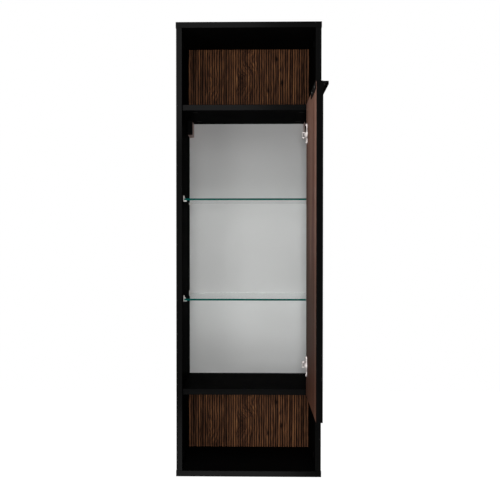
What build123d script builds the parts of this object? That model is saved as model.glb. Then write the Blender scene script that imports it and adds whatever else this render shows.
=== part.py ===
from build123d import *
import math
import os

# Hanging wall cabinet with one inset door, in millimetres, +Z up, front facing -Y.
# X = 0 is the middle of the width and Y = 0 the wall. Z = 0 is the middle of the
# top board's thickness, so the origin lies on the top board's rear edge.
# The door stands open at a right angle: that is the rest pose.

# Carcass
height = 1250.0
width = 400.0
depth = 340.0
board = 16.0                # laminated chipboard
end_overhang = 1.0          # top and bottom board past each side panel
niche_height = 207.0        # clear height of the upper and of the lower niche
shelf_recess = 20.0         # front plane to the fixed shelves' front edges
edge_break = 0.6            # chamfer on the long front edges

# Back panel, standing in grooves
back_thickness = 3.0
back_inset = 23.0           # its rear face to the wall
groove_depth = 6.0
groove_play = 0.1

# Ribbed panels closing the rear of both niches
ribbed_setback = 284.0      # front plane to the rib crests
ribbed_thickness = 16.0
rib_pitch = 7.2
rib_groove_mouth = 2.8
rib_groove_floor = 1.6
rib_groove_depth = 4.0

# Glass shelves and their clips
glass_thickness = 5.0
glass_setback = 35.0
glass_side_gap = 3.0        # side panel to glass
glass_rear_gap = 2.0
glass_heights = (245.0, 525.0)   # undersides above the lower shelf
glass_corner = 2.0
glass_arris = 0.4
clip_width = 12.0
clip_plate = 2.5
clip_reach = 9.0
clip_ledge = 3.0
clip_above = 8.0            # plate above the glass
clip_tongue = 4.0           # tongue's height at the plate
clip_tongue_reach = 3.5
clip_tongue_width = 6.0
clip_from_edge = 22.0       # clip centre to the glass's front and rear edges
clip_pin_radius = 2.5
clip_pin_length = 8.0
clip_play = 0.2
clip_bore_spare = 0.5

# Door
door_thickness = 16.0
door_gap = 2.0              # side panels to the closed door
door_edging = 1.0           # band round the door's four edges
flute_depth = 2.0
open_angle = 90.0

# Cup hinges. A quarter turn about the pole carries the closed door to its open place.
# The bowed link runs between a pin in the arm's nose and a pin in the cup, and both
# pins lie so that the link reaches the cup's pin at either end of that quarter turn.
hinge_from_ends = 85.0      # hinge centres from the door's top and bottom edges
pole_from_edge = 10.0
pole_behind_front = 4.0
cup_radius = 17.5
cup_from_edge = 5.0         # rim of the bore to the door's edge
cup_depth = 12.0
cup_wall = 1.0
cup_play = 0.05
cup_mouth_step = 0.6        # mouth in the flange past the cup's hollow
cavity_half_height = 9.6
flange_thickness = 2.0
flange_height = 57.0
flange_bar = 14.0
flange_rim = 1.5
cup_screw_spacing = 48.0
cup_screw_offset = 6.0
pin_radius = 1.4
pin_play = 0.05
cup_pin_seat = 0.8          # pin's ends in the cup's walls
arm_pin_head = 0.4          # pin's ends past the arm's cheeks
cup_pin_reach = 4.0         # pole to the cup's pin
arm_pin_reach = 26.0        # pole to the arm's pin
cup_pin_bearing = 90.0      # degrees, seen from above, door closed
link_half_height = 5.5
link_thickness = 1.6
link_bow = 8.05
link_eye_wall = 0.85
arm_half_height = 8.5
arm_steel = 1.2
nose_back = 5.0             # arm's pin to the outside of its web
nose_front = 4.4            # arm's pin to the nose's tip
nose_open = 3.7             # arm's pin to the open side of its cheeks
nose_lip = 1.8              # outside of the web to the slot in the nose's front
nose_slot_play = 0.4        # slot past the link, up and down
nose_round = 2.4
arm_crank_front = 26.5      # front plane to the crank's front side
arm_crank_rear = 35.0
arm_corner = 2.5
arm_ramp = 4.0
arm_height = 11.5           # side panel to the outside of the arm's web
arm_lift = 3.0              # side panel to the arm's lower edges
arm_rear = 80.0             # front plane to the arm's rear end
arm_screw_front = 13.0      # crank to the adjusting screw
arm_screw_rear = 14.0       # fixing screw to the arm's rear end
arm_screw_length = 8.0
plate_line = 37.0           # front plane to the plate's screw line
plate_screw_spacing = 32.0
plate_wing_height = 50.0
plate_wing_width = 18.0
plate_thickness = 2.0
plate_core_front = 38.0
plate_core_rear = 76.0
plate_wing_round = 8.0
euro_screw_radius = 3.0
euro_screw_length = 12.0
euro_head_radius = 4.4
euro_head_height = 2.4

# Edge pull on the door's top edge
handle_length = 150.0
handle_from_edge = 15.0
handle_gauge = 2.0
handle_inner_drop = 18.0
handle_reach = 14.0         # past the door's outer face
handle_lip = 8.0
handle_bend = 1.5
handle_screw_insets = (14.0, 100.0)   # from the handle's free end
handle_screw_drop = 10.8    # below the door's top edge

# Hangers in the upper rear corners behind the door
hanger_width = 14.0
hanger_height = 42.0
hanger_length = 80.0
hanger_wall = 2.0
hanger_front_wall = 6.0
hanger_round = 2.0
hanger_cover = 4.0          # length of the cap over the adjusting screws
hanger_cover_wall = 1.6
hanger_screw_setback = 12.0
hanger_screw_inset = 9.0
adjuster_length = 5.0
adjuster_play = 0.6
hanger_travel = 6.0         # hook up and down
hook_thickness = 2.0
hook_height = 18.0
hook_wall_gap = 4.0
hook_mouth = 4.0
hook_rise = 4.0             # steel over the mouth
hook_nose = 2.0             # thickness of the part behind the rail
hook_nose_drop = 7.0
window_play = 1.0

# Cam fittings and dowels
cam_radius = 7.5
cam_depth = 12.5
cam_from_end = 34.0
cam_setbacks = (57.0, 250.0)     # front plane to the fittings' centres
cam_cap_radius = 8.5
cam_cap_thickness = 0.8
cam_slot_play = 0.3
cam_recess = (8.0, 1.4, 2.4)     # length and width of the cross, and twice its depth
bolt_radius = 3.0
bolt_bore_play = 0.5
bolt_thread_radius = 2.5
bolt_thread_length = 11.0
bolt_neck_radius = 1.5
bolt_neck_play = 0.5
bolt_head_radius = 2.8
bolt_head_length = 3.0
dowel_radius = 4.0
dowel_length = 30.0
dowel_in_side = 11.0
dowel_setback = 150.0
dowel_chamfer = 1.0
ribbed_dowel_inset = 45.0

# Small wood screws
screw_radius = 1.75
screw_head_radius = 3.4
screw_head_height = 1.6
screw_length = 12.0
recess_span = 1.2           # cross recess's length over the head's radius
recess_width = 0.9
recess_depth = 0.9

# Planes that follow
front = -depth
top = board / 2
bottom = top - height
niche_floor = bottom + board
shelf_low_under = niche_floor + niche_height
shelf_low_top = shelf_low_under + board
niche_ceiling = top - board
shelf_high_top = niche_ceiling - niche_height
shelf_high_under = shelf_high_top - board
side_outer = width / 2 - end_overhang
side_inner = side_outer - board
back_rear = -back_inset
back_front = back_rear - back_thickness
hanger_front = back_front - hanger_length + hanger_cover
shelf_front = front + shelf_recess
door_edge = side_inner - door_gap
door_inner_face = front + door_thickness
hinge_levels = {"upper": shelf_high_top - hinge_from_ends,
                "lower": shelf_low_under + hinge_from_ends}
pole_x = door_edge - pole_from_edge
pole_y = front + pole_behind_front
pole = Axis((pole_x, pole_y, 0), (0, 0, 1))
bolt_neck_length = cam_radius - bolt_head_length + bolt_neck_play


def block(x0, x1, y0, y1, z0, z1):
    """Box between two opposite corners."""
    return Pos((x0 + x1) / 2, (y0 + y1) / 2, (z0 + z1) / 2) * Box(x1 - x0, y1 - y0, z1 - z0)


def rod(start, direction, radius, length):
    """Round bar that leaves a point along a direction."""
    base = (Align.CENTER, Align.CENTER, Align.MIN)
    return Plane(origin=start, z_dir=direction) * Cylinder(radius, length, align=base)


def turned(start, direction, sections):
    """Round bar of steps, each a radius and a length, along a direction."""
    pieces = []
    reach = 0.0
    for radius, length in sections:
        offset = Vector(*direction) * reach
        pieces.append(rod(Vector(*start) + offset, direction, radius, length))
        reach += length
    return pieces[0].fuse(*pieces[1:])


def screw(seat, direction, length=screw_length, radius=screw_radius,
          head_radius=screw_head_radius, head_height=screw_head_height):
    """Screw whose head stands on its seat, with a cross recess in the head."""
    top_of_head = Vector(*seat) - Vector(*direction) * head_height
    body = turned(top_of_head, direction, ((head_radius, head_height), (radius, length)))
    frame = Plane(origin=top_of_head, z_dir=direction)
    long = head_radius * recess_span
    for size in ((long, recess_width), (recess_width, long)):
        body -= frame * Box(*size, 2 * recess_depth)
    return body


def mirrored(shape):
    """The same shape on the other side of the cabinet."""
    return mirror(shape, about=Plane.YZ)


def save(node, *shapes):
    """Write one sub-part, with every separate solid that belongs to it."""
    solids = [solid for shape in shapes for solid in shape.solids()]
    whole = solids[0] if len(solids) == 1 else Compound(children=solids)
    export_step(whole, f"parts/{node}.step")


def broken_front(panel, along):
    """Chamfer the two long front edges of a board that runs along an axis."""
    edges = panel.edges().filter_by(along).group_by(Axis.Y)[0]
    return chamfer(edges, edge_break)


def opened(shape):
    """Turn a piece of the closed door into the rest pose."""
    return shape.rotate(pole, open_angle)


# Fastener places

def end_fittings():
    """Cam fittings of one side's two ends: cam centre, way of the bolt, way into the cam."""
    for setback in cam_setbacks:
        y = front + setback
        yield (side_inner, y, niche_ceiling - cam_from_end), (0, 0, 1), (1, 0, 0)
        yield (side_inner, y, niche_floor + cam_from_end), (0, 0, -1), (1, 0, 0)


def shelf_fittings():
    """Cam fittings of one end of both fixed shelves, let in from below."""
    for under in (shelf_low_under, shelf_high_under):
        for setback in cam_setbacks:
            yield (side_inner - cam_from_end, front + setback, under), (1, 0, 0), (0, 0, 1)


def fittings():
    yield from end_fittings()
    yield from shelf_fittings()


def bolt_line(centre, way, inward):
    """Start of the bolt's axis, in the middle of the board under the cam's centre."""
    return Vector(*centre) + Vector(*inward) * (board / 2)


def cam_cuts():
    """Bores for the cams and their bolts on the right-hand side."""
    cuts = []
    for centre, way, inward in fittings():
        start = bolt_line(centre, way, inward)
        cuts.append(rod(centre, inward, cam_radius, cam_depth))
        cuts.append(rod(start, way, bolt_radius + bolt_bore_play, cam_from_end))
        thread_start = start + Vector(*way) * cam_from_end
        cuts.append(rod(thread_start, way, bolt_thread_radius, bolt_thread_length))
    return cuts


def dowel_places():
    """Dowels on the right-hand side: the point between both boards, and the way into the
    board that is bored on its face."""
    y = front + dowel_setback
    middle = side_inner + board / 2
    yield (middle, y, niche_ceiling), (0, 0, 1)
    yield (middle, y, niche_floor), (0, 0, -1)
    for under in (shelf_low_under, shelf_high_under):
        yield (side_inner, y, under + board / 2), (1, 0, 0)
    ribbed_middle = front + ribbed_setback + rib_groove_depth + (ribbed_thickness - rib_groove_depth) / 2
    for floor in (niche_floor, shelf_high_top):
        for level in (floor + ribbed_dowel_inset, floor + niche_height - ribbed_dowel_inset):
            yield (side_inner, ribbed_middle, level), (1, 0, 0)


def dowels():
    """Beech dowels of the right-hand side."""
    pegs = []
    for place, way in dowel_places():
        start = Vector(*place) - Vector(*way) * (dowel_length - dowel_in_side)
        peg = rod(start, way, dowel_radius, dowel_length)
        pegs.append(chamfer(peg.edges().filter_by(GeomType.CIRCLE), dowel_chamfer))
    return pegs


def carcass_cuts():
    """Every bore of the right-hand side's joints, and its mirror image."""
    right = cam_cuts()
    for place, way in dowel_places():
        start = Vector(*place) - Vector(*way) * (dowel_length - dowel_in_side)
        right.append(rod(start, way, dowel_radius, dowel_length))
    return right + [mirrored(cut) for cut in right]


def cut_near(panel, cuts):
    """Take the bores that reach into a panel out of it."""
    room = panel.bounding_box()
    near = []
    for cut in cuts:
        box = cut.bounding_box()
        apart = any(getattr(box.min, k) > getattr(room.max, k) or getattr(box.max, k) < getattr(room.min, k)
                    for k in ("X", "Y", "Z"))
        if not apart:
            near.append(cut)
    return panel.cut(*near) if near else panel


# Carcass boards

def groove_ring():
    """Groove in the boards round the back panel."""
    reach = groove_depth
    return block(-side_inner - reach, side_inner + reach, back_front - groove_play,
                 back_rear + groove_play, niche_floor - reach, niche_ceiling + reach)


def end_board(low, high):
    """Top or bottom board, lying over the side panels' ends."""
    panel = block(-width / 2, width / 2, front, 0, low, high)
    return broken_front(panel, Axis.X)


def side_panel():
    """Right-hand side panel, standing between the top and the bottom board."""
    panel = block(side_inner, side_outer, front, 0, niche_floor, niche_ceiling)
    return broken_front(panel, Axis.Z)


def clip_levels():
    for level in glass_heights:
        yield shelf_low_top + level


def clip_lines():
    """Places of the clips along the depth."""
    glass_front = front + glass_setback
    glass_rear = back_front - glass_rear_gap
    return glass_front + clip_from_edge, glass_rear - clip_from_edge


def clip_pin_level(under):
    """Middle of the clip's pin, just under the glass."""
    return under - clip_ledge + clip_pin_radius


def side_bores():
    """Bores in the right-hand side's inner face for clips."""
    bores = []
    for under in clip_levels():
        for y in clip_lines():
            bores.append(rod((side_inner, y, clip_pin_level(under)), (1, 0, 0),
                             clip_pin_radius, clip_pin_length + clip_bore_spare))
    return bores


def plate_screw_points(level):
    y = front + plate_line
    for z in (level - plate_screw_spacing / 2, level + plate_screw_spacing / 2):
        yield (side_inner - plate_thickness, y, z)


def plate_bores():
    """Pilot bores of the hinge plates' screws."""
    return [rod(point, (1, 0, 0), euro_screw_radius, euro_screw_length)
            for level in hinge_levels.values() for point in plate_screw_points(level)]


def hanger_screw_levels():
    return (shelf_high_under - hanger_screw_inset, shelf_high_under - hanger_height + hanger_screw_inset)


def hanger_screw_points():
    """Screws that hold the right-hand hanger's case to the side panel."""
    y = hanger_front + hanger_screw_setback
    for z in hanger_screw_levels():
        yield (side_inner - hanger_wall, y, z)


def hanger_bores():
    return [rod(point, (1, 0, 0), screw_radius, screw_length) for point in hanger_screw_points()]


def fixed_shelf(under):
    """Fixed shelf between the side panels, reaching back to the back panel."""
    panel = block(-side_inner, side_inner, shelf_front, back_front, under, under + board)
    return broken_front(panel, Axis.X)


def ribbed_panel(floor):
    """Upright ribs milled in the front of a board, closing the rear of a niche."""
    crest = front + ribbed_setback
    rear = crest + ribbed_thickness
    count = int((2 * side_inner - rib_groove_mouth) // rib_pitch)
    first = -(count - 1) * rib_pitch / 2
    slope = (rib_groove_mouth - rib_groove_floor) / 2
    outline = [(-side_inner, rear), (-side_inner, crest)]
    for k in range(count):
        left = first + k * rib_pitch - rib_groove_mouth / 2
        right = left + rib_groove_mouth
        outline += [(left, crest), (left + slope, crest + rib_groove_depth),
                    (right - slope, crest + rib_groove_depth), (right, crest)]
    outline += [(side_inner, crest), (side_inner, rear)]
    face = make_face(Polyline(*outline, close=True))
    return extrude(Pos(0, 0, floor) * face, niche_height, dir=(0, 0, 1))


def back_panel():
    """White hardboard back, with a window beside each side panel for the hanger's hook."""
    reach = groove_depth - groove_play
    panel = block(-side_inner - reach, side_inner + reach, back_front, back_rear,
                  niche_floor - groove_depth, niche_ceiling + reach)
    window = block(side_inner - hanger_width, side_inner, back_front - 1, back_rear + 1,
                   shelf_high_under - hanger_height + hanger_wall, shelf_high_under - hanger_wall)
    return panel - window - mirrored(window)


# Glass shelves

def glass_shelf(under):
    half = side_inner - glass_side_gap
    pane = block(-half, half, front + glass_setback, back_front - glass_rear_gap,
                 under, under + glass_thickness)
    pane = fillet(pane.edges().filter_by(Axis.Z), glass_corner)
    return chamfer(pane.faces().sort_by(Axis.Z)[-1].edges(), glass_arris)


def shelf_clip(y, under):
    """Moulded clip: plate on the side panel, ledge under the glass, tongue over it, pin."""
    half = clip_width / 2
    above = under + glass_thickness
    face = side_inner - clip_plate
    plate = block(face, side_inner, y - half, y + half, under - clip_ledge, above + clip_above)
    ledge = block(side_inner - clip_reach, face, y - half, y + half, under - clip_ledge, under)
    over = above + clip_play
    wedge = Polyline((face, over), (face - clip_tongue_reach, over), (face, over + clip_tongue), close=True)
    wedge_plane = Plane(origin=(0, y + clip_tongue_width / 2, 0), x_dir=(1, 0, 0), z_dir=(0, -1, 0))
    tongue = extrude(wedge_plane * make_face(wedge), clip_tongue_width, dir=(0, -1, 0))
    pin = rod((side_inner, y, clip_pin_level(under)), (1, 0, 0), clip_pin_radius, clip_pin_length)
    return plate.fuse(ledge, tongue, pin)


def shelf_clips(under):
    right = [shelf_clip(y, under) for y in clip_lines()]
    return right + [mirrored(clip) for clip in right]


# Door, modelled closed

def cup_centre_x():
    return door_edge - cup_from_edge - cup_radius


def cup_screw_points(level):
    x = cup_centre_x() - cup_screw_offset
    for z in (level - cup_screw_spacing / 2, level + cup_screw_spacing / 2):
        yield (x, door_inner_face + flange_thickness, z)


def handle_screw_points():
    left = -door_edge + handle_from_edge
    z = shelf_high_top - handle_screw_drop
    for inset in handle_screw_insets:
        yield (left + inset, door_inner_face + handle_gauge, z)


def door_panel():
    """Board with shallow flutes on its outer face and blind bores for the hinge cups."""
    half = door_edge - door_edging
    low = shelf_low_under + door_edging
    high = shelf_high_top - door_edging
    count = int((2 * half - rib_groove_mouth) // rib_pitch)
    first = -(count - 1) * rib_pitch / 2
    slope = (rib_groove_mouth - rib_groove_floor) / 2
    outline = [(-half, door_inner_face), (-half, front)]
    for k in range(count):
        left = first + k * rib_pitch - rib_groove_mouth / 2
        right = left + rib_groove_mouth
        outline += [(left, front), (left + slope, front + flute_depth),
                    (right - slope, front + flute_depth), (right, front)]
    outline += [(half, front), (half, door_inner_face)]
    panel = extrude(Pos(0, 0, low) * make_face(Polyline(*outline, close=True)), high - low, dir=(0, 0, 1))
    for level in hinge_levels.values():
        panel -= rod((cup_centre_x(), door_inner_face, level), (0, -1, 0), cup_radius, cup_depth)
        for point in cup_screw_points(level):
            panel -= rod(point, (0, -1, 0), screw_radius, screw_length)
    for point in handle_screw_points():
        panel -= rod(point, (0, -1, 0), screw_radius, screw_length)
    return panel


def door_edge_bands():
    """Four bands glued on the door's edges, the upright ones over the full height."""
    inner = door_edge - door_edging
    upright = block(inner, door_edge, front, door_inner_face, shelf_low_under, shelf_high_top)
    low = block(-inner, inner, front, door_inner_face, shelf_low_under, shelf_low_under + door_edging)
    high = Pos(0, 0, shelf_high_top - shelf_low_under - door_edging) * low
    return [upright, mirrored(upright), low, high]


def door_handle():
    """Folded strip over the door's top edge: inner flange, top, and a lip to pull at."""
    inside = door_inner_face + handle_gauge
    over = shelf_high_top + handle_gauge
    outside = front - handle_reach
    path = [(inside, shelf_high_top - handle_inner_drop), (inside, over), (outside, over),
            (outside, over - handle_lip), (outside + handle_gauge, over - handle_lip),
            (outside + handle_gauge, shelf_high_top), (door_inner_face, shelf_high_top),
            (door_inner_face, shelf_high_top - handle_inner_drop)]
    section = Plane.YZ * make_face(Polyline(*path, close=True))
    left = -door_edge + handle_from_edge
    strip = Pos(left, 0, 0) * extrude(section, handle_length, dir=(1, 0, 0))
    folds = strip.edges().filter_by(Axis.X).group_by(Axis.Z)[-1]
    strip = fillet(folds, handle_bend)
    for point in handle_screw_points():
        strip -= rod(point, (0, -1, 0), screw_radius, handle_gauge)
    return strip


# Cup hinges

def polar(reach, bearing):
    """Point at a distance and bearing from the pole."""
    angle = math.radians(bearing)
    return pole_x + reach * math.cos(angle), pole_y + reach * math.sin(angle)


cup_pin = polar(cup_pin_reach, cup_pin_bearing)
arm_pin = polar(arm_pin_reach, cup_pin_bearing + open_angle / 2)
cup_pin_open = polar(cup_pin_reach, cup_pin_bearing + open_angle)


def bearing_from_arm(point):
    return math.degrees(math.atan2(point[1] - arm_pin[1], point[0] - arm_pin[0]))


link_turn = bearing_from_arm(cup_pin_open) - bearing_from_arm(cup_pin)
link_length = math.dist(arm_pin, cup_pin)


def hinge_cup(level):
    """Pressed cup with its flange, hollow where the arm's nose and the link move, and a
    little wider at its mouth in the flange."""
    centre = (cup_centre_x(), door_inner_face, level)
    face = Plane(origin=centre, x_dir=(1, 0, 0), z_dir=(0, -1, 0))
    radius = cup_radius - cup_play
    cup_floor = cup_depth - cup_play
    body = face * Cylinder(radius, cup_floor, align=(Align.CENTER, Align.CENTER, Align.MIN))
    bar = SlotOverall(flange_height, flange_bar, rotation=90)
    flange = Circle(radius + flange_rim) + Pos(-cup_screw_offset, 0) * bar
    body += extrude(face * flange, -flange_thickness)
    cavity = Rectangle(2 * radius, 2 * cavity_half_height)
    body -= extrude(face * (Circle(radius - cup_wall + cup_mouth_step) & cavity), -flange_thickness)
    body -= extrude(face * (Circle(radius - cup_wall) & cavity), cup_floor - cup_wall)
    for point in cup_screw_points(level):
        body -= rod(point, (0, -1, 0), screw_radius, flange_thickness + 1)
    return body - pin_at(cup_pin, level, cavity_half_height + cup_pin_seat)


def pin_at(place, level, half_length):
    """Riveted hinge pin, upright, centred on the hinge's level."""
    return rod((place[0], place[1], level - half_length), (0, 0, 1), pin_radius, 2 * half_length)


def hinge_link(level):
    """Bowed link between the arm's pin and the cup's pin, closed. It bows into the cup
    when the door is shut and round the door's edge when it is open."""
    ux, uy = (cup_pin[0] - arm_pin[0]) / link_length, (cup_pin[1] - arm_pin[1]) / link_length
    middle = ((arm_pin[0] + cup_pin[0]) / 2 + uy * link_bow, (arm_pin[1] + cup_pin[1]) / 2 - ux * link_bow)
    outline = trace(ThreePointArc(arm_pin, middle, cup_pin), link_thickness)
    for pin in (arm_pin, cup_pin):
        outline += Pos(*pin) * Circle(pin_radius + pin_play + link_eye_wall)
    for pin in (arm_pin, cup_pin):
        outline -= Pos(*pin) * Circle(pin_radius + pin_play)
    return extrude(Pos(0, 0, level - link_half_height) * outline, 2 * link_half_height, dir=(0, 0, 1))


def linked(shape):
    """Turn a closed link into the rest pose."""
    return shape.rotate(Axis((arm_pin[0], arm_pin[1], 0), (0, 0, 1)), link_turn)


def arm_outline(web, past):
    """Plan of the cranked arm. The hollow inside it is the same plan with its web side
    moved in by the steel, and its open sides moved past the arm."""
    nose = arm_pin[0] - nose_back + web
    tip = arm_pin[1] - nose_front - past
    cheek = arm_pin[0] + nose_open + past
    rear_web = side_inner - arm_height + web
    rear_end = front + arm_rear + past
    crank_rear = front + arm_crank_rear - web
    crank_front = front + arm_crank_front - past
    lower = side_inner - arm_lift + past
    return [(nose, tip), (nose, crank_rear - arm_corner), (nose + arm_corner, crank_rear),
            (rear_web - arm_corner, crank_rear), (rear_web, crank_rear + arm_corner),
            (rear_web, rear_end), (lower, rear_end), (lower, crank_front + arm_ramp),
            (lower - arm_ramp, crank_front), (cheek, crank_front), (cheek, tip)]


def nose_wall(level):
    """Steel folded over the front of the arm's nose, with a slot that the link comes out of."""
    web = arm_pin[0] - nose_back
    tip = arm_pin[1] - nose_front
    past = arm_pin[0] + nose_open + arm_steel
    start, end = tip - arm_steel, tip + arm_steel
    slot = link_half_height + nose_slot_play
    wall = block(web, past, start, end, level - arm_half_height, level + arm_half_height)
    return wall - block(web + nose_lip, past, start, end, level - slot, level + slot)


def hinge_arm(level):
    """Pressed arm, a channel open towards the side panel, cranked to bring its nose
    past the inset door's edge."""
    arm = extrude(Pos(0, 0, level - arm_half_height) * make_face(Polyline(*arm_outline(0, 0), close=True)),
                  2 * arm_half_height, dir=(0, 0, 1))
    arm = fillet(arm.edges().filter_by(Axis.Z).group_by(Axis.Y)[0], nose_round)
    half = arm_half_height - arm_steel
    plan = make_face(Polyline(*arm_outline(arm_steel, arm_steel), close=True))
    hollow = extrude(Pos(0, 0, level - half) * plan, 2 * half, dir=(0, 0, 1))
    arm -= hollow - nose_wall(level)
    arm -= pin_at(arm_pin, level, arm_half_height + arm_pin_head)
    for point in arm_screw_points(level):
        arm -= rod(point, (1, 0, 0), screw_radius, 2 * arm_steel)
    return arm


def arm_screw_points(level):
    """Adjusting and fixing screw through the arm's web into the plate's core."""
    x = side_inner - arm_height
    for y in (front + arm_crank_rear + arm_screw_front, front + arm_rear - arm_screw_rear):
        yield (x, y, level)


def hinge_plate(level):
    """Mounting plate: two screwed wings and a raised core that the arm straddles."""
    half = plate_wing_height / 2
    y = front + plate_line
    wings = block(side_inner - plate_thickness, side_inner, y - plate_wing_width / 2,
                  y + plate_wing_width / 2, level - half, level + half)
    wings = fillet(wings.edges().filter_by(Axis.X), plate_wing_round)
    core_half = arm_half_height - arm_steel
    core = block(side_inner - arm_height + arm_steel, side_inner, front + plate_core_front,
                 front + plate_core_rear, level - core_half, level + core_half)
    plate = wings + core
    for point in plate_screw_points(level):
        plate -= rod(point, (1, 0, 0), euro_screw_radius, plate_thickness)
    for point in arm_screw_points(level):
        plate -= rod(point, (1, 0, 0), screw_radius, arm_height)
    return plate


# Hangers

def hanger_slot(travel):
    """Way through a hanger's rear end for its hook, with room to move up and down."""
    middle = side_inner - hanger_width / 2
    half = hook_thickness / 2 + window_play / 2
    low = shelf_high_under - hanger_height / 2 - hook_height / 2
    return block(middle - half, middle + half, hanger_front + hanger_front_wall, back_rear + 1,
                 low - travel - window_play, low + hook_height + travel + window_play)


def hanger_bar(start, end):
    """Stretch of the right-hand hanger's rounded bar, under the upper shelf."""
    bar = block(side_inner - hanger_width, side_inner, start, end,
                shelf_high_under - hanger_height, shelf_high_under)
    return fillet(bar.edges().filter_by(Axis.Y).group_by(Axis.X)[0], hanger_round)


def hanger_case():
    """Case of the right-hand hanger, screwed to the side panel under the upper shelf."""
    case = hanger_bar(hanger_front, back_front)
    case -= hanger_slot(hanger_travel)
    for point in hanger_screw_points():
        well = (side_inner - hanger_width - 1, point[1], point[2])
        case -= rod(well, (1, 0, 0), screw_head_radius + 0.4, hanger_width + 1 - hanger_wall)
        case -= rod(point, (1, 0, 0), screw_radius, hanger_wall)
    for point in adjuster_points():
        case -= rod(point, (0, 1, 0), screw_radius + adjuster_play, hanger_front_wall)
    return case


def adjuster_points():
    """Adjusting screws in the front end of the right-hand hanger."""
    x = side_inner - hanger_width / 2
    for z in hanger_screw_levels():
        yield (x, hanger_front, z)


def hanger_cap():
    """Cap over the case's front end, hollow for the heads of the adjusting screws."""
    start = hanger_front - hanger_cover
    wall = hanger_cover_wall
    return hanger_bar(start, hanger_front) - block(
        side_inner - hanger_width + wall, side_inner - wall, start + wall, hanger_front,
        shelf_high_under - hanger_height + wall, shelf_high_under - wall)


def hanger_hook():
    """Steel strip that leaves the case to the rear and ends in a hook for a wall rail."""
    low = shelf_high_under - hanger_height / 2 - hook_height / 2
    high = low + hook_height
    inside = back_front - hanger_length / 2
    tip = -hook_wall_gap
    throat = tip - hook_nose
    mouth = throat - hook_mouth
    roof = high - hook_rise
    path = [(inside, low), (inside, high), (tip, high), (tip, roof - hook_nose_drop),
            (throat, roof - hook_nose_drop), (throat, roof), (mouth, roof), (mouth, low)]
    section = Plane.YZ * make_face(Polyline(*path, close=True))
    x = side_inner - hanger_width / 2 - hook_thickness / 2
    return Pos(x, 0, 0) * extrude(section, hook_thickness, dir=(1, 0, 0))


# Cam fittings

def cam(centre, way, inward):
    """Zinc cam with a cross recess, and a mouth and hollow for the bolt's head."""
    body = rod(centre, inward, cam_radius, cam_depth)
    start = bolt_line(centre, way, inward)
    body -= rod(start, way, bolt_neck_radius + cam_slot_play, cam_radius)
    body -= rod(start - Vector(*way) * cam_slot_play, way, bolt_head_radius + cam_slot_play,
                bolt_head_length + 2 * cam_slot_play)
    frame = Plane(origin=centre, z_dir=inward)
    long, wide, deep = cam_recess
    return body - frame * Box(long, wide, deep) - frame * Box(wide, long, deep)


def cam_bolt(centre, way, inward):
    """Bolt from the cam to the board that it is screwed into."""
    start = bolt_line(centre, way, inward)
    shank = cam_from_end - bolt_head_length - bolt_neck_length
    return turned(start, way, ((bolt_head_radius, bolt_head_length), (bolt_neck_radius, bolt_neck_length),
                               (bolt_radius, shank), (bolt_thread_radius, bolt_thread_length)))


def cam_cap(centre, way, inward):
    """Thin cover over a cam."""
    return rod(centre, -Vector(*inward), cam_cap_radius, cam_cap_thickness)


os.makedirs("parts", exist_ok=True)

# Carcass
joint_cuts = carcass_cuts()
groove = groove_ring()
save("top_board", cut_near(end_board(niche_ceiling, top) - groove, joint_cuts))
save("bottom_board", cut_near(end_board(bottom, niche_floor) - groove, joint_cuts))
bored_side = cut_near(side_panel() - groove, joint_cuts + side_bores() + plate_bores() + hanger_bores())
plain_side = cut_near(side_panel() - groove, joint_cuts + side_bores() + hanger_bores())
save("side_right", bored_side)
save("side_left", mirrored(plain_side))
save("lower_shelf", cut_near(fixed_shelf(shelf_low_under), joint_cuts))
save("upper_shelf", cut_near(fixed_shelf(shelf_high_under), joint_cuts))
save("ribbed_panel_lower", cut_near(ribbed_panel(niche_floor), joint_cuts))
save("ribbed_panel_upper", cut_near(ribbed_panel(shelf_high_top), joint_cuts))
save("back_panel", back_panel())

# Joinery
cams = {"cams_ends": list(end_fittings()), "cams_shelves": list(shelf_fittings())}
for node, places in cams.items():
    right = [cam(*place) for place in places]
    save(node, *right, *[mirrored(piece) for piece in right])
for node, shape in (("cam_bolts", cam_bolt), ("cam_caps", cam_cap)):
    right = [shape(*place) for place in fittings()]
    save(node, *right, *[mirrored(piece) for piece in right])
pegs = dowels()
save("dowels", *pegs, *[mirrored(peg) for peg in pegs])

# Glass shelves
for name, under in zip(("lower", "upper"), clip_levels()):
    save(f"glass_shelf_{name}", glass_shelf(under))
    save(f"shelf_clips_{name}", *shelf_clips(under))

# Door
save("door_panel", opened(door_panel()))
save("door_edging", *[opened(band) for band in door_edge_bands()])
save("door_handle", opened(door_handle()))
save("handle_screws", *[opened(screw(point, (0, -1, 0))) for point in handle_screw_points()])

# Hinges
for name, level in hinge_levels.items():
    save(f"hinge_cup_{name}", opened(hinge_cup(level)))
    save(f"hinge_link_{name}", linked(hinge_link(level)))
    save(f"hinge_arm_{name}", hinge_arm(level))
    save(f"hinge_plate_{name}", hinge_plate(level))
levels = hinge_levels.values()
save("cup_pins", *[opened(pin_at(cup_pin, level, cavity_half_height + cup_pin_seat)) for level in levels])
save("arm_pins", *[pin_at(arm_pin, level, arm_half_height + arm_pin_head) for level in levels])
save("cup_screws", *[opened(screw(point, (0, -1, 0))) for level in levels
                     for point in cup_screw_points(level)])
save("plate_screws", *[screw(point, (1, 0, 0), euro_screw_length, euro_screw_radius,
                             euro_head_radius, euro_head_height)
                       for level in levels for point in plate_screw_points(level)])
save("arm_screws", *[screw(point, (1, 0, 0), arm_screw_length) for level in levels
                     for point in arm_screw_points(level)])

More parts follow.
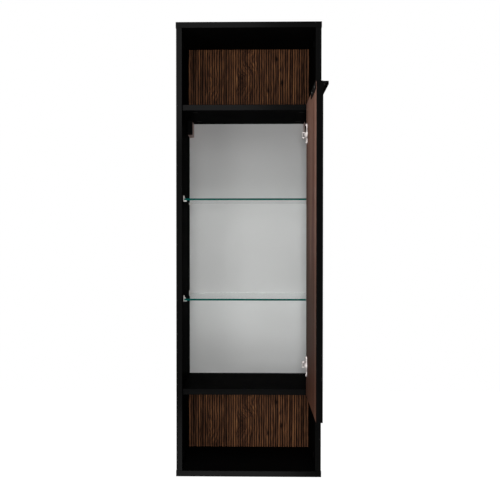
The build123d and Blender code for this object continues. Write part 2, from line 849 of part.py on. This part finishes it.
# Hangers
case = hanger_case()
hook = hanger_hook()
save("hanger_right", case)
save("hanger_left", mirrored(case))
cap = hanger_cap()
save("hanger_covers", cap, mirrored(cap))
save("hook_right", hook)
save("hook_left", mirrored(hook))
fixings = [screw(point, (1, 0, 0)) for point in hanger_screw_points()]
save("hanger_screws", *fixings, *[mirrored(piece) for piece in fixings])
adjusters = [screw(point, (0, 1, 0), adjuster_length) for point in adjuster_points()]
save("hanger_adjusters", *adjusters, *[mirrored(piece) for piece in adjusters])
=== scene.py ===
import bpy
import numpy as np
from mathutils import Euler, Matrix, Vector


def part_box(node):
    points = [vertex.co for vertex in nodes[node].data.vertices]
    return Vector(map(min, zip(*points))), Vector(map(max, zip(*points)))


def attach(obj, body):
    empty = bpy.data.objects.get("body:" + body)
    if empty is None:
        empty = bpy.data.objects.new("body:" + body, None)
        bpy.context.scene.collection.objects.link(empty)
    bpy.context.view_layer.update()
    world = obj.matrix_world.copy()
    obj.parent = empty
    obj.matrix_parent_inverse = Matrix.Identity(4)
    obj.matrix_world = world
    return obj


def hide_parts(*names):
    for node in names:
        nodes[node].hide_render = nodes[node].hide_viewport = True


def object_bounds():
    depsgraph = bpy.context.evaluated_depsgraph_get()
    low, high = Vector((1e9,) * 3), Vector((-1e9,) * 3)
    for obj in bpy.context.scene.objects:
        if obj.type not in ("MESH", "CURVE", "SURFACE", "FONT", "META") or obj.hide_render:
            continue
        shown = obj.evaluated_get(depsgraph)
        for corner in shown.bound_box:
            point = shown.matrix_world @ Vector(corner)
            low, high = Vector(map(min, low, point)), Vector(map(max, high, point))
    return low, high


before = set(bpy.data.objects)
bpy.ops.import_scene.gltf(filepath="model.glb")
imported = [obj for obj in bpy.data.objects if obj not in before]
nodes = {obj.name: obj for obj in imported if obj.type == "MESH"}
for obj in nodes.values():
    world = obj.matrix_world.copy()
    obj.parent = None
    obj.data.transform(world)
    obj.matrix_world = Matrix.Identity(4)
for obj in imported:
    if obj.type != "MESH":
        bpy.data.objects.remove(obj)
cad_box = [list(corner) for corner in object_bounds()]


# ---- Carcass boards ------------------------------------------------------------------
# Six boards of 16 mm chipboard under black melamine paper with a fine pearl embossing.
# Their front edges carry an ABS band about a millimetre thick, ironed on and trimmed,
# so a hair line runs along each side of the edge. The boards are drawn up with cams.

class Value:
    """A shader socket. Arithmetic on it adds Math nodes, and node() adds any other."""

    def __init__(self, tree, socket):
        self.tree, self.socket = tree, socket

    def node(self, kind, settings=None, sockets=None, output=0):
        """A node of a kind, with its settings, which are set first, and the values or links
        of its sockets. A ramp's stops are pairs of a place and a colour."""
        made = self.tree.nodes.new(kind)
        for name, value in (settings or {}).items():
            if name == "stops":
                for _ in range(len(value) - 2):
                    made.color_ramp.elements.new(0.5)
                for element, (place, colour) in zip(made.color_ramp.elements, value):
                    element.position, element.color = place, (*colour, 1)
            else:
                setattr(made, name, value)
        for name, value in (sockets or {}).items():
            if isinstance(value, Value):
                self.tree.links.new(value.socket, made.inputs[name])
            else:
                made.inputs[name].default_value = value
        return Value(self.tree, made.outputs[output])

    def maths(self, operation, *others):
        """A Math node whose first term is this value."""
        terms = dict(enumerate((self, *others)))
        return self.node("ShaderNodeMath", {"operation": operation}, terms)

    def __add__(self, other):
        return self.maths("ADD", other)

    def __sub__(self, other):
        return self.maths("SUBTRACT", other)

    def __rsub__(self, other):
        return self.maths("MULTIPLY_ADD", -1.0, other)

    def __mul__(self, other):
        return self.maths("MULTIPLY", other)

    def __truediv__(self, other):
        return self.maths("DIVIDE", other)

    def __gt__(self, other):
        return self.maths("GREATER_THAN", other)

    def __lt__(self, other):
        return self.maths("LESS_THAN", other)

    __radd__, __rmul__ = __add__, __mul__

    def between(self, low, high):
        """0 up to low, 1 from high, and a smooth step from one to the other."""
        return self.node("ShaderNodeMapRange", {"interpolation_type": "SMOOTHSTEP"},
                         {"Value": self, "From Min": low, "From Max": high})

    def noise(self, scale, detail=2.0, rough=0.5):
        """Cloudy noise whose grain is 1/scale metres along each axis of the scale."""
        place = self.node("ShaderNodeMapping", {}, {"Vector": self, "Scale": scale})
        return place.node("ShaderNodeTexNoise", {},
                          {"Vector": place, "Scale": 1.0, "Detail": detail, "Roughness": rough})

    def ramp(self, *stops):
        return self.node("ShaderNodeValToRGB", {"stops": stops}, {"Fac": self})

    def mix(self, first, second):
        """Colour between two, with this value as the factor."""
        return self.node("ShaderNodeMix", {"data_type": "RGBA"},
                         {0: self, 6: first, 7: second}, 2)

    def axes(self):
        """The three coordinates of a vector."""
        made = self.node("ShaderNodeSeparateXYZ", {}, {0: self}).socket.node
        return [Value(self.tree, made.outputs[k]) for k in range(3)]


def start_material(name):
    """A new material and the object coordinates that its pattern is drawn on."""
    material = bpy.data.materials.new(name)
    material.use_nodes = True
    material.node_tree.nodes.clear()
    coordinates = material.node_tree.nodes.new("ShaderNodeTexCoord")
    return material, Value(material.node_tree, coordinates.outputs["Object"])


def finish_material(place, sockets, relief, depth):
    """A Principled shader from its sockets, and a bump that makes the relief depth metres high."""
    bump = place.node("ShaderNodeBump", {}, {"Height": relief, "Distance": depth})
    show(place.node("ShaderNodeBsdfPrincipled", {}, {**sockets, "Normal": bump}))


def show(surface):
    """Makes a shader the material's surface."""
    output = surface.tree.nodes.new("ShaderNodeOutputMaterial")
    surface.tree.links.new(surface.socket, output.inputs["Surface"])


def dress(material, *names):
    """Gives CAD nodes a finish in place of the plain one."""
    for name in names:
        mesh = nodes[name].data
        mesh.materials.clear()
        mesh.materials.append(material)


band = 0.001                # thickness of the ABS band on the front edges
hair_line = 0.00012         # half the width of the seam behind the band
skin = 0.0002               # depth in which a point counts as on a face
side_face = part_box("side_right")[1].x
top_face, bottom_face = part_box("top_board")[1].z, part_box("bottom_board")[0].z
band_black = (0.0030, 0.0030, 0.0030, 1)
seam_black = (0.0015, 0.0015, 0.0015, 1)


def banded_laminate(name, *boards):
    """Black melamine boards whose front edges, in line with the first one's, carry a band. The
    paper is painted darker on the inner faces as shade and lighter on the outer faces as light.
    """
    laminate, place = start_material(name)
    pearl = place.noise((900, 900, 900), 3.0, 0.6)
    cloud = place.noise((9, 9, 9), 3.0)
    x, y, z = place.axes()
    behind_band = y - (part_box(boards[0])[0].y + band)
    seam = behind_band.maths("ABSOLUTE") < hair_line
    on_band = behind_band < 0.0
    outside = (x.maths("ABSOLUTE") > side_face - skin).maths("MAXIMUM", z > top_face - skin)
    outside = outside.maths("MAXIMUM", z < bottom_face + skin) * (behind_band > 0.0)
    # Painted shade and light: the same paper is painted darker on the faces inside the carcass and
    # lighter on its outer faces.
    inner_paper_painted_shade = cloud.ramp((0.3, (0.0030, 0.0030, 0.0031)), (0.7, (0.0046, 0.0045, 0.0043)))
    outer_paper_painted_lighter = cloud.ramp((0.3, (0.0110, 0.0110, 0.0112)), (0.7, (0.0150, 0.0148, 0.0145)))
    paper = outside.mix(inner_paper_painted_shade, outer_paper_painted_lighter)
    finish_material(place, {
        "Base Color": seam.mix(on_band.mix(paper, band_black), seam_black),
        "Roughness": pearl * 0.16 + 0.70 - on_band * 0.2,
        "Coat Weight": on_band * 0.06 + outside * 0.02 + 0.01, "Coat Roughness": 0.15,
        "Specular IOR Level": 0.0}, pearl, 0.00006)
    dress(laminate, *boards)


banded_laminate("black_laminate", "side_left", "side_right", "top_board", "bottom_board")
banded_laminate("black_shelf_laminate", "upper_shelf", "lower_shelf")


# ---- Cam fittings and dowels ---------------------------------------------------------
# Cast zinc cams in blind bores draw the heads of steel bolts, and beech dowels keep the
# boards in line. A black plastic cap is pushed over each cam.

cast_zinc, place = start_material("cast_zinc")
grain = place.noise((1400, 1400, 1400), 4.0, 0.7)
finish_material(place, {
    "Base Color": grain.ramp((0.3, (0.36, 0.36, 0.37)), (0.7, (0.52, 0.52, 0.53))),
    "Metallic": 1.0, "Roughness": grain * 0.2 + 0.38}, grain, 0.00008)
dress(cast_zinc, "cams_ends", "cams_shelves")

plated_screw, place = start_material("zinc_plated_screw")
film = place.noise((260, 260, 260), 3.0)
turning = place.noise((2200, 2200, 2200), 2.0)
finish_material(place, {
    "Base Color": film.ramp((0.35, (0.60, 0.59, 0.55)), (0.65, (0.74, 0.74, 0.75))),
    "Metallic": 1.0, "Roughness": film * 0.12 + 0.22}, turning, 0.00002)
dress(plated_screw, "cam_bolts", "plate_screws", "arm_screws", "hanger_screws", "hanger_adjusters")

beech, place = start_material("beech")
fibre = place.noise((60, 900, 900), 3.0)
finish_material(place, {
    "Base Color": fibre.ramp((0.3, (0.40, 0.25, 0.13)), (0.7, (0.56, 0.38, 0.22))),
    "Roughness": fibre * 0.2 + 0.55}, fibre, 0.0001)
dress(beech, "dowels")

black_plastic, place = start_material("black_moulded_plastic")
spark = place.noise((1500, 1500, 1500), 2.0, 0.6)
finish_material(place, {
    "Base Color": spark.ramp((0.3, (0.0038, 0.0038, 0.0038)), (0.7, (0.0058, 0.0058, 0.0058))),
    "Roughness": spark * 0.15 + 0.6, "Specular IOR Level": 0.02}, spark, 0.00005)
dress(black_plastic, "cam_caps", "hanger_covers")


# ---- Ribbed niche backs --------------------------------------------------------------
# Boards milled with upright ribs and wrapped in walnut foil, which rounds each arris; the
# grooves are painted near-black as shade. Both come from one length of the figure. They stand
# between the sides on dowels.

rib_pitch = 0.0072
groove_mouth = 0.0028       # width of a groove at the crests
groove_floor = 0.0016
groove_depth = 0.0040
arris = 0.0005              # radius of the foil round each corner
arc_points = 5
rounding = 1e-6             # keeps a whole number of pitches from counting as one less


def ribbed_board(name, node):
    """Board whose front is a row of ribs: the profile across it carries a groove at every
    pitch, a trapezium whose four corners are arcs, and the profile is drawn upwards."""
    low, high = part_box(node)
    count = int((high.x - low.x - groove_mouth) / rib_pitch + rounding)
    slope = np.arctan2(groove_depth, (groove_mouth - groove_floor) / 2)
    turn = np.linspace(0, slope, arc_points)
    cut = arris * np.tan(slope / 2)
    edge_x = -groove_mouth / 2 - cut + arris * np.sin(turn)
    edge_y = arris - arris * np.cos(turn)
    foot_x = -groove_floor / 2 + cut - arris * np.sin(turn[::-1])
    foot_y = groove_depth - arris + arris * np.cos(turn[::-1])
    half_x, half_y = np.concatenate([edge_x, foot_x]), np.concatenate([edge_y, foot_y])
    groove_x = np.concatenate([half_x, -half_x[::-1]])
    groove_y = np.concatenate([half_y, half_y[::-1]])
    centres = (low.x + high.x) / 2 + (np.arange(count) - (count - 1) / 2) * rib_pitch
    across = (centres[:, None] + groove_x).ravel()
    inward = low.y + np.tile(groove_y, count)
    across = np.concatenate([[low.x], across, [high.x, high.x, low.x]])
    inward = np.concatenate([[low.y], inward, [low.y, high.y, high.y]])
    size = len(across)
    points = np.concatenate([np.column_stack([across, inward, np.full(size, level)])
                             for level in (low.z, high.z)])
    here = np.arange(size)
    after = np.roll(here, -1)
    walls = np.column_stack([here, after, after + size, here + size])
    ends = [here[::-1].tolist(), (here + size).tolist()]
    mesh = bpy.data.meshes.new(name)
    mesh.from_pydata(points.tolist(), [], walls.tolist() + ends)
    mesh.validate()
    board = bpy.data.objects.new(name, mesh)
    bpy.context.scene.collection.objects.link(board)
    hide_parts(node)
    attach(board, "carcass")
    return board


def bell(distance, width):
    """1 at no distance, falling as the exponential of minus its square over the width's."""
    return (0.0 - (distance / width) * (distance / width)).maths("EXPONENT")


def walnut(place, across, along, knots=(), flames=()):
    """Walnut figure, 0 to 1 from dark to light, from the lengths across the grain and along
    it. Rings are streaks of noise drawn along the grain on the distance across, which sways,
    leans over in a flame, and swells round each knot; each knot is dark at its heart. A knot
    is its place across and along and its size, and a flame its place, width, height and lean."""
    sway, curl = 0.012, 0.02
    knot_squash, knot_push, swell_size, heart_size = 0.20, 0.75, 4, 0.35
    flow = place.node("ShaderNodeCombineXYZ", {}, {0: across, 1: along, 2: 0.0})
    bent = across + (flow.noise((11, 6, 1), 2.0) - 0.5) * sway
    for middle, level, width, height, lean in flames:
        near, above = bell(across - middle, width), along - level
        bent = bent + near * bell(above, height) * above * lean
        bent = bent + near * (flow.noise((30, 26, 1), 1.0) - 0.5) * curl
    heart = 0.0
    for middle, level, size in knots:
        aside, above = across - middle, along - level
        reach = aside * aside + above * above * knot_squash
        swell = (0.0 - reach / (size * size * swell_size)).maths("EXPONENT")
        bent = bent - swell * aside * knot_push
        heart = heart + (0.0 - reach / (size * size * heart_size)).maths("EXPONENT")
    ring = place.node("ShaderNodeCombineXYZ", {}, {0: bent, 1: along, 2: 0.0})
    broad = ring.noise((60, 1.6, 1), 2.0)
    fine = ring.noise((330, 6, 1), 3.0, 0.6)
    pores = ring.noise((900, 30, 1), 2.0, 0.6)
    return broad * 0.22 + fine * 0.50 + pores * 0.28 - heart * 0.20


# These walnut tones are painted lighter than the wood is, to make up for the shade inside the
# niches.
walnut_tones_painted_lighter = ((0.38, (0.012, 0.0056, 0.0030)), (0.44, (0.085, 0.037, 0.021)),
                (0.51, (0.210, 0.093, 0.048)), (0.57, (0.420, 0.183, 0.082)),
                (0.64, (0.660, 0.300, 0.126)))
# Painted shade: the grooves of the niche backs and the flutes of the door are painted near-black.
painted_groove_shade = (0.003, 0.0015, 0.001, 1)
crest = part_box("ribbed_panel_lower")[0]
crest_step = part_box("ribbed_panel_upper")[0].z - crest.z
cut_shift = 0.040           # the upper board is cut this much lower in the same figure
dim_depth, black_depth = 0.0001, 0.0009     # between them a groove is painted from its tone to black, as painted shade
knots = ((0.060, 0.042, 0.0045), (0.084, 0.138, 0.0045), (0.096, 0.104, 0.0050),
         (0.103, 0.066, 0.0045))
flames = ((-0.006, 0.106, 0.024, 0.050, 0.90), (-0.108, 0.035, 0.016, 0.040, -0.60))

ribbed_walnut, place = start_material("ribbed_walnut")
x, y, z = place.axes()
above_floor = z - (z > crest.z + crest_step / 2) * (crest_step + cut_shift) - crest.z
figure = walnut(place, x, above_floor, knots, flames)
rib = (x / rib_pitch + 0.5).maths("FLOOR")
shade = rib.node("ShaderNodeTexWhiteNoise", {"noise_dimensions": "1D"}, {"W": rib}) - 0.5
# Painted shade: each groove is painted darker with depth, down to black.
groove = y.between(crest.y + dim_depth, crest.y + black_depth)
finish_material(place, {
    "Base Color": groove.mix((figure + shade * 0.06).ramp(*walnut_tones_painted_lighter), painted_groove_shade),
    "Roughness": figure * -0.2 + 0.70,
    "Specular IOR Level": 0.05}, figure, 0.00012)
for level in ("lower", "upper"):
    board = ribbed_board("ribbed_back_" + level, "ribbed_panel_" + level)
    board.data.materials.append(ribbed_walnut)


# ---- Back panel ----------------------------------------------------------------------
# One sheet of 3 mm hardboard held in grooves round the boards: white lacquer inside,
# bare brown fibre behind, with a window in each upper corner for a hanger's hook.

hardboard, place = start_material("white_hardboard")
x, y, z = place.axes()
lacquered_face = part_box("back_panel")[0].y
felt = place.noise((420, 420, 420), 4.0, 0.7)
wash = place.noise((5, 5, 5), 2.0)
lacquer = wash.ramp((0.3, (0.74, 0.74, 0.735)), (0.7, (0.78, 0.78, 0.778)))
fibre = felt.ramp((0.35, (0.17, 0.10, 0.055)), (0.65, (0.30, 0.19, 0.11)))
bare = y > lacquered_face + skin
finish_material(place, {
    "Base Color": bare.mix(lacquer, fibre), "Roughness": felt * 0.15 + bare * 0.25 + 0.50,
    "Specular IOR Level": 0.1}, felt, 0.00006)
dress(hardboard, "back_panel")


# ---- Glass shelves and clips ---------------------------------------------------------
# Two panes of 5 mm float glass with ground and polished edges, green where the light runs
# along the sheet. Each lies on four milky plastic clips plugged into the side panels.

true_normal, shadow_ray = 3, 1      # outputs of the Geometry and Light Path nodes
flat, rearward = 0.9, 0.6           # how far a face may turn up, and to the rear

glass, place = start_material("float_glass")
facing = place.node("ShaderNodeNewGeometry", output=true_normal).axes()
edge = (facing[2].maths("ABSOLUTE") < flat) * (facing[1] < rearward)
pane = place.node("ShaderNodeBsdfPrincipled", {}, {
    "Base Color": (0.93, 0.985, 0.965, 1), "Transmission Weight": 1.0,
    "IOR": 1.5, "Roughness": 0.0})
clear = place.node("ShaderNodeBsdfTransparent", {}, {"Color": (0.95, 0.96, 0.955, 1)})
lamp_ray = place.node("ShaderNodeLightPath", output=shadow_ray)
pane = place.node("ShaderNodeMixShader", {}, {0: lamp_ray, 1: pane, 2: clear})
grind = place.noise((300, 300, 300), 2.0)
ground = place.node("ShaderNodeBsdfPrincipled", {}, {
    "Base Color": grind.ramp((0.3, (0.0005, 0.085, 0.070)), (0.7, (0.0012, 0.110, 0.095))),
    "Roughness": grind * 0.1 + 0.3, "Specular IOR Level": 0.0})
show(place.node("ShaderNodeMixShader", {}, {0: edge, 1: pane, 2: ground}))
dress(glass, "glass_shelf_lower", "glass_shelf_upper")

clip_plastic, place = start_material("milky_clip_plastic")
flow = place.noise((700, 700, 700), 2.0)
finish_material(place, {
    "Base Color": flow.ramp((0.3, (0.66, 0.64, 0.61)), (0.7, (0.76, 0.74, 0.71))),
    "Roughness": flow * 0.1 + 0.34}, flow, 0.00003)
dress(clip_plastic, "shelf_clips_lower", "shelf_clips_upper")


# ---- Door ----------------------------------------------------------------------------
# A board faced inside with smooth walnut foil, painted paler and darker in places as light and
# shade, and fluted outside like the niche backs, with a black band glued round its four edges.
# It hangs on the right-hand side panel.

door_low, door_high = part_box("door_panel")
door_walnut, place = start_material("door_walnut")
x, y, z = place.axes()
across = y - (door_low.y + door_high.y) / 2
inner_tones = ((0.30, (0.058, 0.022, 0.012)), (0.44, (0.115, 0.047, 0.029)),
               (0.54, (0.185, 0.082, 0.055)), (0.74, (0.395, 0.203, 0.149)))
# The door's outer face stands outside the niches, so it takes the niche tones at this fraction,
# without their painted light.
outer_dimming = 0.6
outer_tones = [(stop, tuple(part * outer_dimming for part in tone)) for stop, tone in walnut_tones_painted_lighter]
half_way, half_length = (door_low.z + door_high.z) / 2, (door_high.z - door_low.z) / 2
painted_shade_drop = 0.17            # painted shade is deepest this far below half way
endwise = (z - half_way) / half_length

# Painted light and shade: the foil is painted paler towards its top, its ends and its free edge,
# and darker a little below half way. It is also streaked along its grain.
painted_light_and_streaks = (endwise * 0.19 + endwise.maths("POWER", 6.0) * 0.12
          - bell(z - (half_way - painted_shade_drop), painted_shade_drop) * 0.10 - across * 0.45 + 0.02)
for middle, width, tone in ((0.115, 0.045, -0.045), (-0.093, 0.020, -0.070),
                            (-0.165, 0.022, 0.035)):
    painted_light_and_streaks = painted_light_and_streaks + bell(across - middle, width) * tone
figure = walnut(place, across, z)
foil = place.node("ShaderNodeCombineXYZ", {}, {0: across, 1: z, 2: 0.0})
inner_figure = figure + (foil.noise((17, 0.9, 1), 2.0) - 0.5) * 0.52 + painted_light_and_streaks
dim_depth, black_depth = 0.0003, 0.0012     # between them a flute is painted black, as painted shade
outer = x > (door_low.x + door_high.x) / 2
# Painted shade: the flutes are painted darker with depth, down to black.
flute = (door_high.x - x).between(dim_depth, black_depth)
fluted_face = flute.mix(figure.ramp(*outer_tones), painted_groove_shade)
finish_material(place, {
    "Base Color": outer.mix(inner_figure.ramp(*inner_tones), fluted_face),
    "Roughness": figure * -0.2 + 0.70, "Specular IOR Level": 0.05}, figure, 0.00008)
dress(door_walnut, "door_panel")

edging, place = start_material("black_edging")
drawn = place.noise((500, 500, 60), 2.0, 0.6)
finish_material(place, {
    "Base Color": drawn.ramp((0.3, (0.0025, 0.0025, 0.0026)), (0.7, (0.0040, 0.0040, 0.0040))),
    "Roughness": drawn * 0.14 + 0.50, "Specular IOR Level": 0.01}, drawn, 0.00004)
dress(edging, "door_edging")


# ---- Edge pull -----------------------------------------------------------------------
# An aluminium strip folded over the door's top edge and powder-coated matt black, fixed
# from inside with two blackened screws.

powder_coat, place = start_material("black_powder_coat")
orange_peel = place.noise((1100, 1100, 1100), 2.0, 0.5)
finish_material(place, {
    "Base Color": orange_peel.ramp((0.3, (0.0026, 0.0026, 0.0027)),
                                   (0.7, (0.0046, 0.0046, 0.0048))),
    "Roughness": orange_peel * 0.16 + 0.52, "Specular IOR Level": 0.03}, orange_peel, 0.00012)
dress(powder_coat, "door_handle")

blackened_screw, place = start_material("blackened_screw")
film = place.noise((400, 400, 400), 3.0)
finish_material(place, {
    "Base Color": film.ramp((0.35, (0.045, 0.045, 0.045)), (0.65, (0.075, 0.075, 0.072))),
    "Metallic": 1.0, "Roughness": film * 0.15 + 0.40}, film, 0.00002)
dress(blackened_screw, "handle_screws")


# ---- Cup hinges ----------------------------------------------------------------------
# Pressed and nickel-plated steel: a cup and flange let into the door, a cranked arm on a
# winged plate on the side panel, and a bowed link between the two, on riveted pins.

nickel, place = start_material("nickel_plated_steel")
brush = place.noise((160, 160, 2400), 3.0, 0.6)
stain = place.noise((120, 120, 120), 2.0)
finish_material(place, {
    "Base Color": stain.ramp((0.3, (0.74, 0.68, 0.66)), (0.7, (0.84, 0.79, 0.77))),
    "Metallic": stain * 0.1 + 0.75, "Roughness": brush * 0.14 + stain * 0.1 + 0.38}, brush, 0.00002)
dress(nickel, "hinge_cup_lower", "hinge_cup_upper", "hinge_arm_lower", "hinge_arm_upper",
      "hinge_link_lower", "hinge_link_upper", "hinge_plate_lower", "hinge_plate_upper",
      "cup_pins", "cup_screws", "arm_pins")


# ---- Hangers -------------------------------------------------------------------------
# Brown moulded housings screwed into the upper rear corners, with black caps over their
# adjusting screws. Each holds a steel hook that reaches through the back to the wall rail.

housing, place = start_material("brown_hanger_plastic")
spark = place.noise((1300, 1300, 1300), 2.0, 0.6)
finish_material(place, {
    "Base Color": spark.ramp((0.3, (0.50, 0.32, 0.285)), (0.7, (0.60, 0.40, 0.36))),
    "Roughness": spark * 0.12 + 0.42, "Specular IOR Level": 0.3}, spark, 0.00005)
dress(housing, "hanger_left", "hanger_right")

plated_strip, place = start_material("zinc_plated_strip")
rolled = place.noise((90, 90, 1900), 3.0)
finish_material(place, {
    "Base Color": rolled.ramp((0.3, (0.55, 0.55, 0.54)), (0.7, (0.68, 0.68, 0.68))),
    "Metallic": 1.0, "Roughness": rolled * 0.15 + 0.28}, rolled, 0.00003)
dress(plated_strip, "hook_left", "hook_right")


# ---- Studio --------------------------------------------------------------------------
# A white surround, a pale floor below the hung cabinet, soft lamps in front of it and
# one behind it on either side, and the camera.

white = (1, 1, 1, 1)
mirrored, lit = 0.9, 0.22   # the surround's strength in reflections, and as a lamp

world = bpy.data.worlds.new("surround")
bpy.context.scene.world = world
world.use_nodes = True
tree = world.node_tree
tree.nodes.clear()
rays = tree.nodes.new("ShaderNodeLightPath").outputs
seen = Value(tree, rays["Is Camera Ray"]).maths("MAXIMUM", Value(tree, rays["Is Transmission Ray"]))
glossy = Value(tree, rays["Is Glossy Ray"])
strength = seen.maths("MAXIMUM", glossy * mirrored).maths("MAXIMUM", lit)
back = strength.node("ShaderNodeBackground", {}, {"Color": white, "Strength": strength})
tree.links.new(back.socket, tree.nodes.new("ShaderNodeOutputWorld").inputs["Surface"])

low, high = (Vector(corner) for corner in cad_box)
reach, floor_level = 9.0, low.z - 1.4
corners = [(-reach, -reach), (reach, -reach), (reach, reach), (-reach, reach)]
mesh = bpy.data.meshes.new("floor")
mesh.from_pydata([(*corner, floor_level) for corner in corners], [], [(0, 1, 2, 3)])
floor = bpy.data.objects.new("floor", mesh)
bpy.context.scene.collection.objects.link(floor)

pale, place = start_material("pale_floor")
seen = place.node("ShaderNodeLightPath")
diffuse = place.node("ShaderNodeBsdfDiffuse", {}, {"Color": (0.86, 0.86, 0.86, 1)})
glow = place.node("ShaderNodeEmission", {}, {"Color": white, "Strength": 0.85})
both = place.node("ShaderNodeAddShader", {}, {0: diffuse, 1: glow})
show(place.node("ShaderNodeMixShader", {}, {0: seen, 1: diffuse, 2: both}))
mesh.materials.append(pale)


def soft_lamp(name, place, size, power):
    """Area lamp of a width and a length that looks from its place to the cabinet's middle."""
    light = bpy.data.lights.new(name, "AREA")
    light.shape, light.size, light.size_y, light.energy = "RECTANGLE", *size, power
    lamp = bpy.data.objects.new(name, light)
    bpy.context.scene.collection.objects.link(lamp)
    lamp.location = place
    lamp.rotation_euler = ((low + high) / 2 - Vector(place)).to_track_quat("-Z", "Y").to_euler()


soft_lamp("upper_left_lamp", (-0.22, -3.0, 0.36), (0.6, 0.7), 5.2)
soft_lamp("lower_left_lamp", (-0.11, -3.0, -1.86), (0.75, 0.5), 5.6)
soft_lamp("middle_lamp", (0.03, -3.0, -0.53), (0.3, 0.5), 14.5)
soft_lamp("left_front_lamp", (-1.2, -2.6, -1.15), (0.6, 0.3), 7)
soft_lamp("ceiling_lamp", (-0.1, -2.2, 1.4), (0.5, 0.8), 12)
soft_lamp("left_side_lamp", (-2.4, 1.8, 0.1), (1.0, 1.4), 35)
soft_lamp("right_side_lamp", (2.4, 1.8, 0.1), (1.0, 1.4), 35)

look_down, look_left = 1.002, 1.258     # degrees

lens = bpy.data.cameras.new("camera")
lens.sensor_width = 36.0
lens.lens = 63.35
lens.shift_x, lens.shift_y = 0.0400, 0.00644
camera = bpy.data.objects.new("camera", lens)
bpy.context.scene.collection.objects.link(camera)
camera.location = (0.0020, -2.7563, -0.5829)
camera.rotation_euler = Euler(np.radians((90 - look_down, 0.0, look_left)).tolist())
bpy.context.scene.camera = camera

bpy.context.scene.view_settings.view_transform = "Standard"
